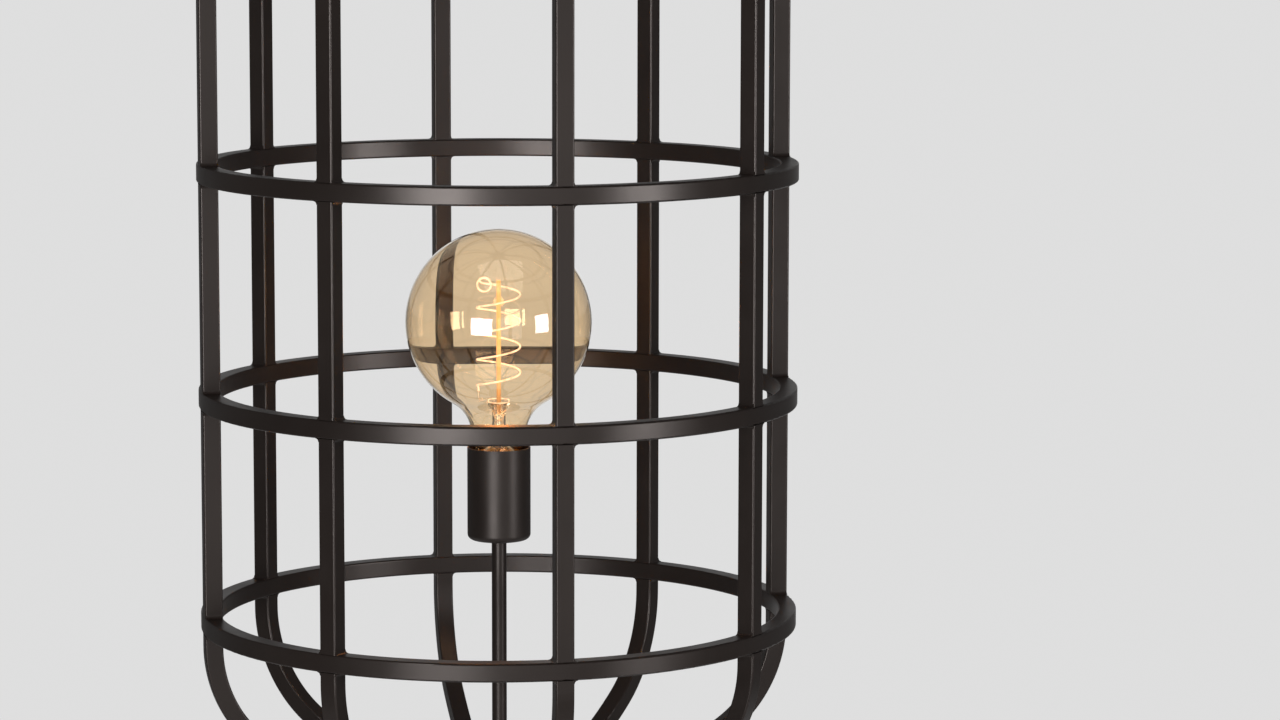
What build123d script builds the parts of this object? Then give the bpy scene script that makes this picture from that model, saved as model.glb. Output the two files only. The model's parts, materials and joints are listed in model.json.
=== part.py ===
from build123d import *
import math
import os

# Wire cage floor lamp. Millimetres, +Z up. The origin is on the floor, under the middle of the foot.
# The cage is a lantern of square bar: rings, straight bars between them and a bowl of curved ribs at
# each end. It stands on a pole and a round weighted foot, and a globe bulb stands on a rod inside it.

# --- foot ---
pad_height = 4.0
pad_radius = 12.0
pad_edge_inset = 9.5
pad_count = 6
weight_thickness = 20.0
weight_edge_clearance = 1.0
foot_cover_radius = 160.0
foot_cover_wall = 1.5
foot_cover_edge_radius = 8.0
foot_cover_floor_gap = 3.0
wrench_clearance = 13.0
channel_side_clearance = 1.6
channel_roof_clearance = 1.1

# --- cord inlet in the back of the foot ---
inlet_height = 10.0
inlet_bore_radius = 3.6
inlet_neck_radius = 5.0
inlet_flange_radius = 6.4
inlet_flange_thickness = 1.6

# --- pole ---
pole_radius = 12.5
pole_wall = 1.5
pole_section_length = 400.0
plug_length = 30.0
nipple_radius = 6.0
nipple_bore_radius = 4.0
nipple_grip = 22.0
nipple_end_stand = 1.0
foot_collar_radius = 21.0
foot_collar_height = 14.0
cage_collar_radius = 19.0
cage_collar_height = 18.0
collar_chamfer = 1.5
grub_screw_radius = 2.0

# --- nuts and washers ---
nut_thickness = 6.0
foot_nut_flats = 22.0
rod_nut_flats = 17.0
washer_thickness = 1.5
foot_washer_radius = 15.0
rod_washer_radius = 11.0
thread_clearance = 0.05
slip_clearance = 0.1

# --- cage ---
bar_width = 12.0
bar_corner_radius = 1.2
ring_radius = 200.0
ring_spacing = 150.0
ring_count = 4
rib_count = 8
first_rib_angle = 22.5
bowl_straight = 14.0
bowl_shoulder_radius = 88.0
bowl_shoulder_angle = 55.0
hub_radius = 36.0
hub_thickness = 16.0
hub_edge_radius = 2.0

# --- lamp rod and lampholder ---
rod_radius = 5.0
rod_bore_radius = 3.5
cup_wall = 1.2
cup_neck_clearance = 1.55
cup_corner_radius = 4.0
cup_height = 62.5
cup_above_lowest_ring = 51.0
insert_side_clearance = 0.4
insert_boss_radius = 9.0
insert_boss_length = 4.0
insert_base_thickness = 15.8
insert_floor_step = 0.8
rod_grip_in_insert = 11.0
skirt_clearance = 0.5
shell_wall = 0.4
shell_side_clearance = 0.1
shell_lip_drop = 0.5
thread_side_clearance = 0.35
contact_thickness = 0.5
contact_width = 6.0
contact_length = 20.0
contact_rise = 1.6
contact_foot_length = 3.0
contact_crest_length = 7.0
terminal_screw_radius = 1.5
terminal_head_radius = 3.0
terminal_head_height = 2.0
terminal_screw_length = 8.0
terminal_screw_circle = 14.5
terminal_slot_width = 0.8
terminal_slot_depth = 1.0

# --- bulb ---
globe_radius = 62.4
globe_wall = 0.8
neck_fillet_radius = 25.0
neck_radius = 18.5
neck_taper = 2.2
globe_centre_above_tip = 115.3
cap_length = 27.5
cap_wall = 0.4
cap_crest_radius = 13.15
cap_thread_depth = 0.9
cap_thread_pitch = 3.629
cap_thread_turns = 4
skirt_glass_gap = 0.3
cap_skirt_height = 6.0
cap_insulator_height = 4.5
cap_bottom_taper = 1.5
cap_bottom_lip = 0.8
cap_thread_run_in = 0.8
cap_skirt_slope = 2.0
cap_tip_radius = 4.8
cap_tip_height = 1.5
cap_tip_taper = 1.2
cap_tip_rim = 0.4
cap_insulator_margin = 0.6
tip_rest_gap = 0.3
glass_in_skirt_depth = 3.0

# --- inside the bulb ---
stem_radius = 4.6
stem_wall = 0.9
stem_glass_gap = 0.3
stem_flare_height = 9.0
stem_above_tip = 59.0
stem_pinch_height = 6.0
stem_tip_bevel = 1.2
support_radius = 1.5
support_top_above_tip = 143.5
support_grip = 5.0
filament_wire_radius = 0.6
filament_coil_radius = 14.5
filament_turns = 4
filament_end_angle = 190.5
filament_top_drop = 1.0
filament_seat_drop = 3.0
filament_end_drop = 3.2
coil_above_stem = 13.6
curl_radius = 4.6
curl_reach = 9.6
curl_advance = 2.6
curl_drop = 2.2
lead_wire_radius = 0.35
lead_offset = 2.6
lead_rise = 2.6
lead_bend_radius = 1.2

# --- heights worked out from the sizes above ---
weight_top = pad_height + weight_thickness
foot_top = weight_top + foot_cover_wall
pole_joint_height = foot_top + pole_section_length
pole_top = pole_joint_height + pole_section_length
pole_inner_radius = pole_radius - pole_wall
plug_radius = pole_inner_radius - thread_clearance
weight_radius = foot_cover_radius - foot_cover_wall - weight_edge_clearance
pad_circle_radius = weight_radius - pad_edge_inset - pad_radius
first_pad_angle = 90.0 + 180.0 / pad_count
cord_channel_width = 2 * (inlet_flange_radius + channel_side_clearance)
channel_roof = inlet_height + inlet_flange_radius + channel_roof_clearance
nut_recess_radius = foot_nut_flats / 2 + wrench_clearance

bar_radius = ring_radius - bar_width / 2
shoulder_end_radius = bar_radius - bowl_shoulder_radius * (1 - math.cos(math.radians(bowl_shoulder_angle)))
shoulder_end_drop = bowl_straight + bowl_shoulder_radius * math.sin(math.radians(bowl_shoulder_angle))
crown_radius = shoulder_end_radius / math.cos(math.radians(bowl_shoulder_angle))
crown_centre_rise = crown_radius * math.sin(math.radians(bowl_shoulder_angle)) - shoulder_end_drop
bowl_depth_at_hub = math.sqrt(crown_radius ** 2 - hub_radius ** 2) - crown_centre_rise

lowest_ring_height = pole_top + hub_thickness / 2 + bowl_depth_at_hub
top_ring_height = lowest_ring_height + ring_spacing * (ring_count - 1)
top_hub_height = top_ring_height + bowl_depth_at_hub
total_height = top_hub_height + hub_thickness / 2

hub_face = pole_top + hub_thickness
cup_inner_radius = neck_radius + cup_neck_clearance
cup_radius = cup_inner_radius + cup_wall
cup_bottom = lowest_ring_height + cup_above_lowest_ring
cup_floor = cup_bottom + cup_wall
cup_nut_top = cup_floor + washer_thickness + nut_thickness
insert_bottom = cup_nut_top + insert_floor_step
insert_base = insert_bottom + insert_boss_length
well_floor = insert_base + insert_base_thickness
rod_top = insert_bottom + rod_grip_in_insert
shell_inner_radius = cap_crest_radius + thread_side_clearance
shell_outer_radius = shell_inner_radius + shell_wall
well_radius = shell_outer_radius + shell_side_clearance
contact_top = well_floor + contact_thickness + contact_rise

tip_height = contact_top + tip_rest_gap
cap_top = tip_height + cap_length
cap_shell_bottom = tip_height + cap_tip_height + cap_insulator_height
cap_skirt_bottom = cap_top - cap_skirt_height
insert_top = cap_skirt_bottom - skirt_clearance
neck_foot_radius = neck_radius - neck_taper
stem_flare_radius = neck_foot_radius - globe_wall - stem_glass_gap
glass_foot = cap_top - glass_in_skirt_depth
globe_height = tip_height + globe_centre_above_tip
neck_fillet_distance = neck_radius + neck_fillet_radius
neck_fillet_height = globe_height - math.sqrt(
    (globe_radius + neck_fillet_radius) ** 2 - neck_fillet_distance ** 2)
neck_slope = neck_taper / (neck_fillet_height - glass_foot)
cap_skirt_radius = neck_foot_radius + neck_slope * glass_in_skirt_depth + skirt_glass_gap + cap_wall
stem_top = tip_height + stem_above_tip
support_top = tip_height + support_top_above_tip
coil_top = support_top - filament_top_drop
coil_bottom = stem_top + coil_above_stem
filament_pitch = (coil_top - coil_bottom) / filament_turns


def tube(outer_radius, inner_radius, low, high):
    """An upright round tube between two heights."""
    length = high - low
    body = Cylinder(outer_radius, length, align=(Align.CENTER, Align.CENTER, Align.MIN))
    bore = Cylinder(inner_radius, length, align=(Align.CENTER, Align.CENTER, Align.MIN))
    return Pos(0, 0, low) * (body - bore)


def turned(points):
    """A closed outline of (radius, height) points, turned about the upright axis."""
    outline = Plane.XZ * make_face(Polyline(*points, close=True))
    return revolve(outline, Axis.Z)


def hex_nut(flats, bore_radius, low, thickness):
    """A hexagon nut lying flat, with a plain bore."""
    corner_radius = flats / math.sqrt(3)
    body = extrude(RegularPolygon(corner_radius, 6), thickness)
    bore = Cylinder(bore_radius, thickness, align=(Align.CENTER, Align.CENTER, Align.MIN))
    return Pos(0, 0, low) * (body - bore)


def around_axis(shape, count, first_angle=0.0):
    """Copies of a shape spread evenly about the upright axis."""
    return [Rot(0, 0, first_angle + 360.0 * i / count) * shape for i in range(count)]


# --- foot ---
def make_foot_pads():
    pad = Pos(pad_circle_radius, 0, 0) * Cylinder(
        pad_radius, pad_height, align=(Align.CENTER, Align.CENTER, Align.MIN))
    return Compound(children=around_axis(pad, pad_count, first_pad_angle))


def make_foot_weight():
    weight = tube(weight_radius, nipple_radius + slip_clearance, pad_height, weight_top)
    upper_edge = weight.edges().filter_by(GeomType.CIRCLE).group_by(Axis.Z)[-1].sort_by(SortBy.RADIUS)[-1]
    weight = fillet(upper_edge, foot_cover_edge_radius - foot_cover_wall)
    depth = channel_roof - pad_height
    weight -= Pos(0, 0, pad_height) * Cylinder(
        nut_recess_radius, depth, align=(Align.CENTER, Align.CENTER, Align.MIN))
    weight -= Pos(0, 0, pad_height) * Box(
        cord_channel_width, 2 * weight_radius, depth, align=(Align.CENTER, Align.MIN, Align.MIN))
    return weight


def make_foot_cover():
    """A pressed dish, turned down over the weight, with the inlet's hole in its back."""
    outer = Pos(0, 0, foot_cover_floor_gap) * Cylinder(
        foot_cover_radius, foot_top - foot_cover_floor_gap, align=(Align.CENTER, Align.CENTER, Align.MIN))
    outer = fillet(outer.edges().group_by(Axis.Z)[-1], foot_cover_edge_radius)
    inner = Pos(0, 0, foot_cover_floor_gap) * Cylinder(
        foot_cover_radius - foot_cover_wall, weight_top - foot_cover_floor_gap,
        align=(Align.CENTER, Align.CENTER, Align.MIN))
    inner = fillet(inner.edges().group_by(Axis.Z)[-1], foot_cover_edge_radius - foot_cover_wall)
    centre_hole = Pos(0, 0, weight_top) * Cylinder(nipple_radius + slip_clearance, 4 * foot_cover_wall)
    inlet_hole = Pos(0, foot_cover_radius, inlet_height) * Rot(90, 0, 0) * Cylinder(
        inlet_neck_radius + slip_clearance, foot_cover_radius / 4)
    return outer - inner - centre_hole - inlet_hole


def make_cord_inlet():
    """A rubber bush in the cover's back wall, with a lip on each side of it."""
    wall_middle = foot_cover_radius - foot_cover_wall / 2
    # the round cover bends away from a flat lip, so the lips stand off by that much
    bend = foot_cover_radius - math.sqrt(foot_cover_radius ** 2 - inlet_flange_radius ** 2)
    half_grip = foot_cover_wall / 2 + bend
    lip = Cylinder(inlet_flange_radius, inlet_flange_thickness,
                   align=(Align.CENTER, Align.CENTER, Align.MIN))
    neck = Cylinder(inlet_neck_radius, 2 * half_grip, align=(Align.CENTER, Align.CENTER, Align.CENTER))
    bush = neck + Pos(0, 0, half_grip) * lip + Pos(0, 0, -half_grip - inlet_flange_thickness) * lip
    bush -= Cylinder(inlet_bore_radius, 4 * (half_grip + inlet_flange_thickness))
    return Pos(0, wall_middle, inlet_height) * Rot(-90, 0, 0) * bush


# --- pole ---
def make_pole_section(low):
    return tube(pole_radius, pole_inner_radius, low, low + pole_section_length)


def make_plug(low, bore_radius):
    """A threaded plug, fixed inside one end of a pole section."""
    return tube(plug_radius, bore_radius + thread_clearance, low, low + plug_length)


def make_pole_plugs():
    """The three equal plugs: one at the foot, and one on each side of the pole's joint."""
    lows = [foot_top, pole_joint_height - plug_length, pole_joint_height]
    return Compound(children=[make_plug(low, nipple_radius) for low in lows])


def make_pole_nipples(foot_end):
    """The hollow threaded studs: one holds the pole to the foot, one joins its two sections."""
    foot_nipple = tube(nipple_radius, nipple_bore_radius, foot_end, foot_top + nipple_grip)
    joint_nipple = tube(nipple_radius, nipple_bore_radius,
                        pole_joint_height - nipple_grip, pole_joint_height + nipple_grip)
    return Compound(children=[foot_nipple, joint_nipple])


def across_collar(radius, collar_radius, height, gap):
    """A round bar through a collar's back wall, short of both its faces by a gap."""
    length = collar_radius - pole_radius - 2 * gap
    bar = Cylinder(radius, length, align=(Align.CENTER, Align.CENTER, Align.MIN))
    return Pos(0, pole_radius + gap, height) * Rot(-90, 0, 0) * bar


def make_collar(outer_radius, low, height, chamfered_top):
    collar = tube(outer_radius, pole_radius + slip_clearance, low, low + height)
    rims = collar.edges().filter_by(GeomType.CIRCLE).group_by(Axis.Z)[-1 if chamfered_top else 0]
    collar = chamfer(rims.sort_by(SortBy.RADIUS)[-1], collar_chamfer)
    return collar - across_collar(
        grub_screw_radius + thread_clearance, outer_radius, low + height / 2, -slip_clearance)


def make_collar_screws():
    foot_screw = across_collar(
        grub_screw_radius, foot_collar_radius, foot_top + foot_collar_height / 2, slip_clearance)
    cage_screw = across_collar(
        grub_screw_radius, cage_collar_radius, pole_top - cage_collar_height / 2, slip_clearance)
    return Compound(children=[foot_screw, cage_screw])


# --- cage ---
def bar_section():
    return RectangleRounded(bar_width, bar_width, bar_corner_radius)


def make_ring(height):
    section = Plane.XZ * Pos(bar_radius, height) * bar_section()
    return revolve(section, Axis.Z)


def make_bar_column(angle):
    """The straight bars of one column, each cut to fit between two rings."""
    bars = []
    for level in range(ring_count - 1):
        low = lowest_ring_height + level * ring_spacing + bar_width / 2
        bar = extrude(bar_section(), ring_spacing - bar_width)
        bars.append(Rot(0, 0, angle) * Pos(bar_radius, 0, low) * bar)
    return Compound(children=bars)


def bowl_path(inner_radius):
    """The centre line of a curved rib, from the ring down to a radius inside the hub."""
    start = Vector(bar_radius, 0, -bar_width / 2)
    straight_end = Vector(bar_radius, 0, -bowl_straight)
    shoulder_centre = Vector(bar_radius - bowl_shoulder_radius, 0, -bowl_straight)
    crown_centre = Vector(0, 0, crown_centre_rise)

    def on_shoulder(degrees):
        turn = math.radians(degrees)
        return shoulder_centre + Vector(math.cos(turn), 0, -math.sin(turn)) * bowl_shoulder_radius

    def on_crown(radius):
        return crown_centre + Vector(radius, 0, -math.sqrt(crown_radius ** 2 - radius ** 2))

    shoulder_end = on_shoulder(bowl_shoulder_angle)
    crown_end = on_crown(inner_radius)
    crown_middle = on_crown((shoulder_end.X + inner_radius) / 2)
    return Wire([
        Line(start, straight_end).edge(),
        ThreePointArc(straight_end, on_shoulder(bowl_shoulder_angle / 2), shoulder_end).edge(),
        ThreePointArc(shoulder_end, crown_middle, crown_end).edge(),
    ])


def make_bowl_rib():
    """One curved rib under a ring at height zero, its inner end cut round to meet the hub."""
    path = bowl_path(hub_radius - bar_width / 2)
    section = Pos(bar_radius, 0, -bar_width / 2) * bar_section()
    rib = sweep(section, path)
    hub_cut = Pos(0, 0, -bowl_depth_at_hub) * Cylinder(hub_radius, 4 * bar_width)
    return rib - hub_cut


def make_hub(height, bore_radius=None):
    disc = Cylinder(hub_radius, hub_thickness)
    disc = fillet(disc.edges().filter_by(GeomType.CIRCLE), hub_edge_radius)
    if bore_radius:
        disc -= Cylinder(bore_radius, 2 * hub_thickness)
    return Pos(0, 0, height) * disc


# --- lamp rod and lampholder ---
def make_lamp_rod():
    return tube(rod_radius, rod_bore_radius, pole_top - nipple_grip, rod_top)


def make_rod_washer(low):
    return tube(rod_washer_radius, rod_radius + slip_clearance, low, low + washer_thickness)


def make_rod_nut(low):
    return hex_nut(rod_nut_flats, rod_radius + thread_clearance, low + washer_thickness, nut_thickness)


def make_holder_cup():
    """A deep drawn cup, open at the top, with the rod's hole in its floor."""
    outer = Cylinder(cup_radius, cup_height, align=(Align.CENTER, Align.CENTER, Align.MIN))
    outer = fillet(outer.edges().group_by(Axis.Z)[0], cup_corner_radius)
    inner = Pos(0, 0, cup_wall) * Cylinder(
        cup_inner_radius, cup_height, align=(Align.CENTER, Align.CENTER, Align.MIN))
    inner = fillet(inner.edges().group_by(Axis.Z)[0], cup_corner_radius - cup_wall)
    rod_hole = Cylinder(rod_radius + slip_clearance, 4 * cup_wall)
    return Pos(0, 0, cup_bottom) * (outer - inner - rod_hole)


def terminal_places():
    return [Pos(side * terminal_screw_circle, 0, 0) for side in (-1, 1)]


def make_holder_insert():
    """The lampholder's insulating body: a well for the screw shell, and a boss for the rod."""
    radius = cup_inner_radius - insert_side_clearance
    bore = rod_radius + thread_clearance
    body = turned([
        (bore, insert_bottom), (insert_boss_radius, insert_bottom), (insert_boss_radius, insert_base),
        (radius, insert_base), (radius, insert_top), (well_radius, insert_top), (well_radius, well_floor),
        (rod_bore_radius, well_floor), (rod_bore_radius, rod_top), (bore, rod_top),
    ])
    shank = Cylinder(terminal_screw_radius + thread_clearance, terminal_screw_length,
                     align=(Align.CENTER, Align.CENTER, Align.MIN))
    for place in terminal_places():
        body -= Pos(0, 0, insert_base) * place * shank
    return body


def make_terminal_screws():
    screws = []
    for place in terminal_places():
        head = Cylinder(terminal_head_radius, terminal_head_height,
                        align=(Align.CENTER, Align.CENTER, Align.MAX))
        shank = Cylinder(terminal_screw_radius, terminal_screw_length - slip_clearance,
                         align=(Align.CENTER, Align.CENTER, Align.MIN))
        slot = Box(2 * terminal_head_radius, terminal_slot_width, terminal_slot_depth,
                   align=(Align.CENTER, Align.CENTER, Align.MIN))
        screw = head + shank - Pos(0, 0, -terminal_head_height) * slot
        screws.append(Pos(0, 0, insert_base) * place * screw)
    return Compound(children=screws)


def make_screw_shell():
    """The thin brass sleeve that the bulb's cap screws into."""
    return tube(shell_outer_radius, shell_inner_radius,
                well_floor + contact_thickness, insert_top - shell_lip_drop)


def make_centre_contact():
    """A brass spring strip on the well's floor, raised in the middle to press on the bulb's tip."""
    half = contact_length / 2
    bottom = well_floor
    foot = half - contact_foot_length
    crest = contact_crest_length / 2
    rise = contact_rise
    skin = contact_thickness
    outline = Polyline(
        (-half, bottom), (-foot, bottom), (-crest, bottom + rise), (crest, bottom + rise),
        (foot, bottom), (half, bottom), (half, bottom + skin), (foot + skin, bottom + skin),
        (crest, bottom + rise + skin), (-crest, bottom + rise + skin), (-foot - skin, bottom + skin),
        (-half, bottom + skin), close=True)
    return extrude(Plane.XZ * make_face(outline), contact_width / 2, both=True)


# --- bulb ---
def globe_outline(inset):
    """Points on the glass, from the neck's foot to the top of the globe, moved inwards by inset."""
    globe = globe_radius - inset
    bend = neck_fillet_radius + inset
    reach = neck_fillet_distance
    drop = globe_height - neck_fillet_height
    globe_share = globe / (globe + bend)
    half_turn = math.atan2(drop, reach) / 2
    neck_foot = (neck_foot_radius - inset, glass_foot)
    neck_top = (neck_radius - inset, neck_fillet_height)
    bend_middle = (reach - bend * math.cos(half_turn), neck_fillet_height + bend * math.sin(half_turn))
    meeting = (reach * globe_share, globe_height - drop * globe_share)
    side = (globe, globe_height)
    crown = (0, globe_height + globe)
    return neck_foot, neck_top, bend_middle, meeting, side, crown


def make_globe():
    """The glass envelope, open at the foot of its neck."""
    def curve(inset):
        neck_foot, neck_top, bend_middle, meeting, side, crown = globe_outline(inset)
        return [
            Line(neck_foot, neck_top),
            ThreePointArc(neck_top, bend_middle, meeting),
            ThreePointArc(meeting, side, crown),
        ]

    outer = curve(0)
    inner = curve(globe_wall)
    edges = outer + inner
    edges.append(Line(outer[0] @ 0, inner[0] @ 0))
    edges.append(Line(outer[2] @ 1, inner[2] @ 1))
    profile = make_face([edge.edge() for edge in edges])
    return revolve(Plane.XZ * profile, Axis.Z)


def make_bulb_cap():
    """The cap's metal shell: rounded thread ridges below, and a wider skirt round the glass."""
    crest = cap_crest_radius
    root = crest - cap_thread_depth
    rim = root - cap_bottom_taper
    lip_top = cap_shell_bottom + cap_bottom_lip
    skirt_top = cap_skirt_bottom + cap_skirt_slope
    points = [(rim, cap_shell_bottom), (root, lip_top)]
    for turn in range(cap_thread_turns):
        low = lip_top + cap_thread_run_in + turn * cap_thread_pitch
        # each ridge rises, is flat at its crest and falls, in tenths of the pitch
        points += [(root, low), (crest, low + 0.3 * cap_thread_pitch),
                   (crest, low + 0.5 * cap_thread_pitch), (root, low + 0.8 * cap_thread_pitch)]
    points += [(root, cap_skirt_bottom), (cap_skirt_radius, skirt_top), (cap_skirt_radius, cap_top)]
    inner = [(cap_skirt_radius - cap_wall, cap_top), (cap_skirt_radius - cap_wall, skirt_top + cap_wall),
             (root - cap_wall, cap_skirt_bottom + cap_wall), (root - cap_wall, lip_top + cap_wall),
             (rim - cap_wall, cap_shell_bottom)]
    return turned(points + inner)


def make_cap_insulator():
    bottom = tip_height + cap_tip_height
    rim = cap_crest_radius - cap_thread_depth - cap_bottom_taper - cap_wall
    return turned([(0, bottom), (cap_tip_radius + cap_insulator_margin, bottom),
                   (rim, cap_shell_bottom), (0, cap_shell_bottom)])


def make_cap_tip():
    bottom = tip_height
    top = bottom + cap_tip_height
    return turned([(0, bottom), (cap_tip_radius - cap_tip_taper, bottom),
                   (cap_tip_radius, top - cap_tip_rim), (cap_tip_radius, top), (0, top)])


def from_axis(outwards, sideways, height):
    """A point given by its distance from the axis towards the filament's ends, and square to that."""
    turn = math.radians(filament_end_angle)
    return Vector(outwards * math.cos(turn) + sideways * math.sin(turn),
                  outwards * math.sin(turn) - sideways * math.cos(turn), height)


def make_stem():
    """The glass stem: a flare in the neck, a tube up to a solid pinch that grips the wires."""
    foot = glass_foot
    pinch = stem_top - stem_pinch_height
    inner = stem_radius - stem_wall
    stem = turned([
        (stem_flare_radius - stem_wall, foot), (stem_flare_radius, foot),
        (stem_radius, foot + stem_flare_height), (stem_radius, stem_top - stem_tip_bevel),
        (stem_radius - stem_tip_bevel, stem_top), (0, stem_top), (0, pinch), (inner, pinch),
        (inner, foot + stem_flare_height),
    ])
    stem -= Pos(0, 0, stem_top - support_grip) * Cylinder(
        support_radius + thread_clearance, 2 * support_grip, align=(Align.CENTER, Align.CENTER, Align.MIN))
    stem -= Pos(from_axis(lead_offset, 0, pinch)) * Cylinder(
        lead_wire_radius + thread_clearance, 3 * stem_pinch_height)
    return stem


def make_support_rod():
    length = support_top - stem_top + support_grip
    return Pos(0, 0, stem_top - support_grip) * Cylinder(
        support_radius, length, align=(Align.CENTER, Align.CENTER, Align.MIN))


def biarc(start, start_way, end, end_way):
    """Two arcs that leave one point and reach another along given directions."""
    chord = end - start
    ways = start_way + end_way
    spread = 2 * (1 - start_way.dot(end_way))
    along = chord.dot(ways)
    reach = chord.dot(chord) / (along + math.sqrt(along ** 2 + spread * chord.dot(chord)))
    joint = (start + end + (start_way - end_way) * reach) * 0.5
    first = Edge.make_tangent_arc(start, start_way, joint)
    second = Edge.make_tangent_arc(joint, first.tangent_at(1), end)
    return [first, second]


def curl_stations():
    """The small upright curl beside the support's top, as points and directions by quarter turns."""
    middle = coil_top - curl_drop
    stations = []
    for quarter in range(5):
        turn = quarter * math.pi / 2
        point = from_axis(curl_reach + curl_radius * math.sin(turn), curl_advance * quarter / 4,
                          middle + curl_radius * math.cos(turn))
        way = from_axis(math.cos(turn), 0, -math.sin(turn))
        stations.append((point, way))
    return stations


def coil_station(turn):
    """A point of the coil and its direction, after an angle of turning down from the coil's top."""
    rise = filament_pitch / (2 * math.pi)
    slope = math.hypot(filament_coil_radius, rise)
    across = filament_coil_radius * math.cos(turn)
    along = filament_coil_radius * math.sin(turn)
    point = from_axis(across, along, coil_top - rise * turn)
    way = from_axis(-along, across, -rise) / slope
    return point, way


def filament_stations():
    """The filament's line: out from the support, round the curl and the coil, then down."""
    stations = curl_stations()
    stations.append(coil_station(math.pi / 4))
    stations += [coil_station(quarter * math.pi / 2) for quarter in range(1, 4 * filament_turns + 1)]
    stub_end = from_axis(filament_coil_radius - 0.3 * filament_end_drop, filament_end_drop,
                         coil_bottom - filament_end_drop)
    stations.append((stub_end, Vector(0, 0, -1)))
    return stations


def filament_edges():
    wire = 2 * filament_wire_radius
    seat = from_axis(support_radius + thread_clearance, 0, support_top - filament_seat_drop)
    outwards = from_axis(1, 0, 0)
    arm_end = seat + outwards * wire
    edges = [Edge.make_line(seat, arm_end)]
    point, way = arm_end, outwards
    for next_point, next_way in filament_stations():
        edges += biarc(point, way, next_point, next_way)
        point, way = next_point, next_way
    edges.append(Edge.make_line(point, point + way * wire))
    return edges


def make_filament():
    edges = filament_edges()
    path = Wire(edges)
    section = Plane(origin=path @ 0, z_dir=path % 0) * Circle(filament_wire_radius)
    report_coil(edges)
    return sweep(section, path)


def report_coil(edges):
    """Print the least gap between turns, and the tightest bend, measured along the wire."""
    samples = []
    travelled = 0.0
    for edge in edges:
        steps = max(2, int(edge.length / 1.0))
        for step in range(steps):
            samples.append((travelled + edge.length * step / steps, edge.position_at(step / steps)))
        travelled += edge.length
    wire = 2 * filament_wire_radius
    least = min((a - b).length for s, a in samples for t, b in samples if t - s > 6 * wire)
    tightest = min(edge.radius for edge in edges if edge.geom_type == GeomType.CIRCLE)
    print(f"filament: least gap between turns {least - wire:.2f} mm, tightest bend {tightest:.2f} mm")


def make_lead_wire():
    """The thin wire that joins the stem to the coil's lower end."""
    end = filament_edges()[-1] @ 1
    foot = from_axis(lead_offset, 0, stem_top - stem_pinch_height)
    knee = from_axis(lead_offset, 0, stem_top + lead_rise)
    elbow = Vector(end.X, end.Y, stem_top + lead_rise)
    path = FilletPolyline(foot, knee, elbow, end, radius=lead_bend_radius)
    section = Plane(origin=path @ 0, z_dir=path % 0) * Circle(lead_wire_radius)
    return sweep(section, path.wire())


def build():
    os.makedirs("parts", exist_ok=True)
    parts = {}

    parts["foot_pads"] = make_foot_pads()
    parts["foot_weight"] = make_foot_weight()
    parts["foot_cover"] = make_foot_cover()
    parts["cord_inlet"] = make_cord_inlet()
    nut_top = channel_roof - washer_thickness
    parts["foot_washer"] = tube(foot_washer_radius, nipple_radius + slip_clearance, nut_top, channel_roof)
    parts["foot_nut"] = hex_nut(foot_nut_flats, nipple_radius + thread_clearance,
                                nut_top - nut_thickness, nut_thickness)
    parts["pole_nipples"] = make_pole_nipples(nut_top - nut_thickness - nipple_end_stand)

    parts["lower_pole"] = make_pole_section(foot_top)
    parts["upper_pole"] = make_pole_section(pole_joint_height)
    parts["pole_plugs"] = make_pole_plugs()
    parts["cage_plug"] = make_plug(pole_top - plug_length, rod_radius)
    parts["foot_collar"] = make_collar(foot_collar_radius, foot_top, foot_collar_height, True)
    parts["cage_collar"] = make_collar(cage_collar_radius, pole_top - cage_collar_height,
                                       cage_collar_height, False)
    parts["collar_screws"] = make_collar_screws()

    parts["bottom_hub"] = make_hub(pole_top + hub_thickness / 2, rod_radius + slip_clearance)
    parts["top_hub"] = make_hub(top_hub_height)
    for number in range(ring_count):
        parts[f"cage_ring_{number + 1}"] = make_ring(lowest_ring_height + number * ring_spacing)
    bowl_rib = make_bowl_rib()
    crown_rib = mirror(bowl_rib, about=Plane.XY)
    for number in range(rib_count):
        angle = first_rib_angle + 360.0 * number / rib_count
        parts[f"cage_column_{number + 1}"] = make_bar_column(angle)
        parts[f"bottom_rib_{number + 1}"] = Pos(0, 0, lowest_ring_height) * Rot(0, 0, angle) * bowl_rib
        parts[f"top_rib_{number + 1}"] = Pos(0, 0, top_ring_height) * Rot(0, 0, angle) * crown_rib

    parts["lamp_rod"] = make_lamp_rod()
    parts["rod_washers"] = Compound(children=[make_rod_washer(low) for low in (hub_face, cup_floor)])
    parts["rod_nuts"] = Compound(children=[make_rod_nut(low) for low in (hub_face, cup_floor)])
    parts["holder_cup"] = make_holder_cup()
    parts["holder_insert"] = make_holder_insert()
    parts["terminal_screws"] = make_terminal_screws()
    parts["screw_shell"] = make_screw_shell()
    parts["centre_contact"] = make_centre_contact()

    parts["bulb_globe"] = make_globe()
    parts["bulb_cap"] = make_bulb_cap()
    parts["cap_insulator"] = make_cap_insulator()
    parts["cap_tip"] = make_cap_tip()
    parts["bulb_stem"] = make_stem()
    parts["filament_support"] = make_support_rod()
    parts["bulb_filament"] = make_filament()
    parts["filament_lead"] = make_lead_wire()

    for name, shape in parts.items():
        export_step(shape, f"parts/{name}.step")
    print(f"total height {total_height:.1f} mm, lowest ring at {lowest_ring_height:.1f} mm, "
          f"globe centre at {globe_height:.1f} mm")


build()
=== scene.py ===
import bpy
import bmesh
import json
import math
from mathutils import Matrix, Vector


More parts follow.
